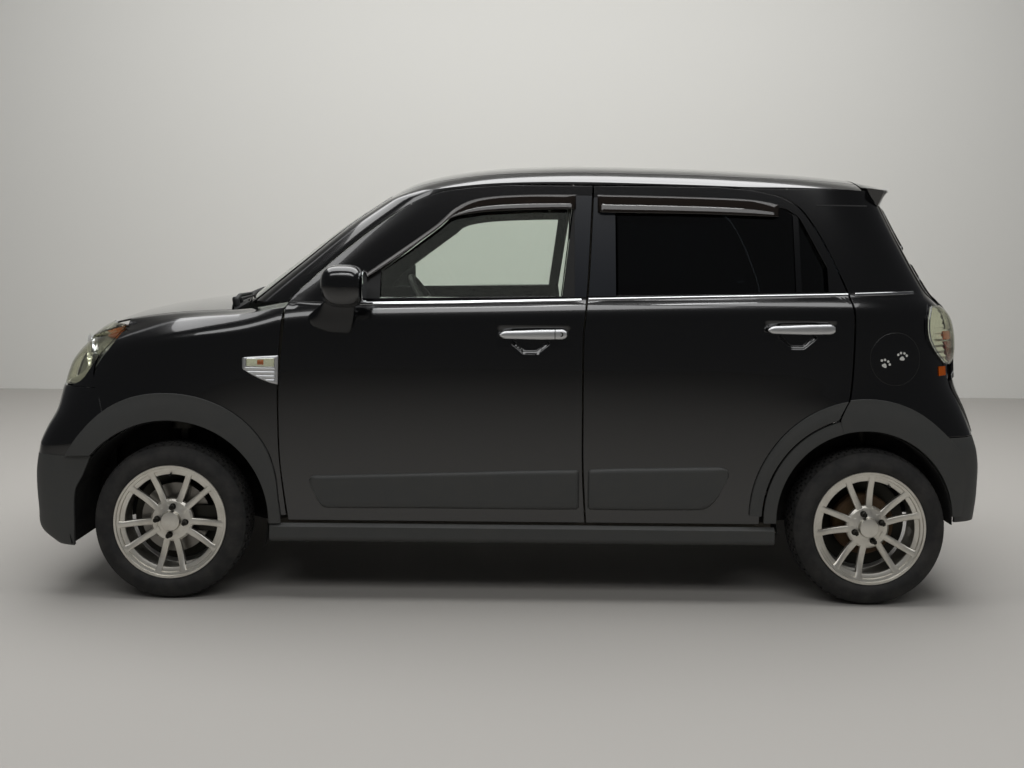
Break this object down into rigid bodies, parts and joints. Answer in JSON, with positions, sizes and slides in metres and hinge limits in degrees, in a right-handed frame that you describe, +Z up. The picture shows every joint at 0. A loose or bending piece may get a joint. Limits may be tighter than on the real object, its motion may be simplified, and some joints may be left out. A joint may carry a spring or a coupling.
{
  "type": "kei car",
  "caption": "Compact five-door hatchback with hinged doors, bonnet and tailgate, steered front wheels, rolling wheels and a furnished cabin.",
  "frame": {"origin": "on the ground under the middle of the car, at the centre of the bounding box", "axes": "+X to the rear of the car, nose along -X, left side along -Y, right side along +Y, +Z up"},
  "size_m": [3.3958, 1.7992, 1.5746],
  "materials": {
    "alloy": "satin",
    "black_plastic": "satin",
    "black_steel": "satin",
    "clear_glass": "gloss",
    "cloth": "woven",
    "dark_glass": "gloss",
    "grey_plastic": "textured",
    "iron": "matt",
    "lamp_clear": "gloss",
    "lamp_red": "gloss",
    "paint": "gloss",
    "paint_plastic": "gloss",
    "steel": "satin",
    "tyre": "matt"
  },
  "bodies": {
    "body": {"floor_pan": "black_steel", "side_frame_left": "paint", "side_frame_right": "paint", "roof_panel": "paint", "windscreen": "clear_glass", "dashboard": "black_plastic", "front_wings": "paint", "front_bumper": "paint_plastic", "front_valance": "black_plastic", "front_grille": "black_plastic", "headlamps": "lamp_clear", "rear_bumper": "grey_plastic", "tail_lamps": "lamp_red", "body_cladding": "grey_plastic", "arch_liners": "black_plastic", "inner_frame_left": "paint", "inner_frame_right": "paint", "wing_garnishes": "lamp_clear", "fuel_lid": "paint", "front_seats": "cloth", "rear_seat": "cloth", "engine_block": "iron", "exhaust": "steel", "fuel_tank": "black_plastic", "front_suspension": "black_steel", "rear_axle": "black_steel", "cowl": "black_plastic"},
    "tailgate": {"gate_trim": "paint_plastic", "tailgate": "paint", "tailgate_glass": "dark_glass", "tailgate_spoiler": "paint_plastic"},
    "bonnet": {"bonnet": "paint"},
    "front_door_left": {"front_door_left": "paint", "front_door_glass_left": "clear_glass", "front_door_trim_left": "grey_plastic", "mirror_left": "paint_plastic"},
    "front_door_right": {"front_door_right": "paint", "front_door_glass_right": "clear_glass", "front_door_trim_right": "grey_plastic", "mirror_right": "paint_plastic"},
    "rear_door_left": {"rear_door_left": "paint", "rear_door_glass_left": "dark_glass", "rear_door_trim_left": "grey_plastic"},
    "rear_door_right": {"rear_door_right": "paint", "rear_door_glass_right": "dark_glass", "rear_door_trim_right": "grey_plastic"},
    "wheel_front_left": {"front_wheel_left": "alloy", "front_tyre_left": "tyre"},
    "wheel_front_right": {"front_wheel_right": "alloy", "front_tyre_right": "tyre"},
    "wheel_rear_left": {"rear_wheel_left": "alloy", "rear_tyre_left": "tyre"},
    "wheel_rear_right": {"rear_wheel_right": "alloy", "rear_tyre_right": "tyre"},
    "knuckle_left": {"knuckle_left": "iron"},
    "knuckle_right": {"knuckle_right": "iron"},
    "steering_wheel": {"steering_wheel": "black_plastic"}
  },
  "joints": [
    {"name": "front_door_left_hinge", "type": "hinge", "parent": "body", "child": "front_door_left", "pos_m": [-0.736, -0.706, 0.7], "axis": [0, 0, -1], "range_deg": [0, 62]},
    {"name": "rear_door_left_hinge", "type": "hinge", "parent": "body", "child": "rear_door_left", "pos_m": [0.322, -0.706, 0.7], "axis": [0, 0, -1], "range_deg": [0, 66]},
    {"name": "front_door_right_hinge", "type": "hinge", "parent": "body", "child": "front_door_right", "pos_m": [-0.736, 0.706, 0.7], "axis": [0, 0, 1], "range_deg": [0, 62]},
    {"name": "rear_door_right_hinge", "type": "hinge", "parent": "body", "child": "rear_door_right", "pos_m": [0.322, 0.706, 0.7], "axis": [0, 0, 1], "range_deg": [0, 66]},
    {"name": "bonnet_hinge", "type": "hinge", "parent": "body", "child": "bonnet", "pos_m": [-0.96, 0, 1], "axis": [0, 1, 0], "range_deg": [0, 50]},
    {"name": "tailgate_hinge", "type": "hinge", "parent": "body", "child": "tailgate", "pos_m": [1.266, 0, 1.506], "axis": [0, -1, 0], "range_deg": [0, 78]},
    {"name": "steer_left", "type": "hinge", "parent": "body", "child": "knuckle_left", "pos_m": [-1.1875, -0.548, 0.273], "axis": [0, 0, 1], "range_deg": [-33, 33]},
    {"name": "spin_front_left", "type": "hinge", "parent": "knuckle_left", "child": "wheel_front_left", "pos_m": [-1.1875, -0.6525, 0.273], "axis": [0, 1, 0], "continuous": true},
    {"name": "spin_rear_left", "type": "hinge", "parent": "body", "child": "wheel_rear_left", "pos_m": [1.2675, -0.6525, 0.273], "axis": [0, 1, 0], "continuous": true},
    {"name": "steer_right", "type": "hinge", "parent": "body", "child": "knuckle_right", "pos_m": [-1.1875, 0.548, 0.273], "axis": [0, 0, 1], "range_deg": [-33, 33]},
    {"name": "spin_front_right", "type": "hinge", "parent": "knuckle_right", "child": "wheel_front_right", "pos_m": [-1.1875, 0.6525, 0.273], "axis": [0, 1, 0], "continuous": true},
    {"name": "spin_rear_right", "type": "hinge", "parent": "body", "child": "wheel_rear_right", "pos_m": [1.2675, 0.6525, 0.273], "axis": [0, 1, 0], "continuous": true},
    {"name": "steering_wheel_turn", "type": "hinge", "parent": "body", "child": "steering_wheel", "pos_m": [-0.353, 0.34, 0.97], "axis": [0.8231, 0, 0.5678], "range_deg": [-496, 496]}
  ],
  "couplings": [
    {"joint": "steer_right", "follows": "steer_left", "ratio": 1},
    {"joint": "steering_wheel_turn", "follows": "steer_left", "ratio": 15}
  ]
}
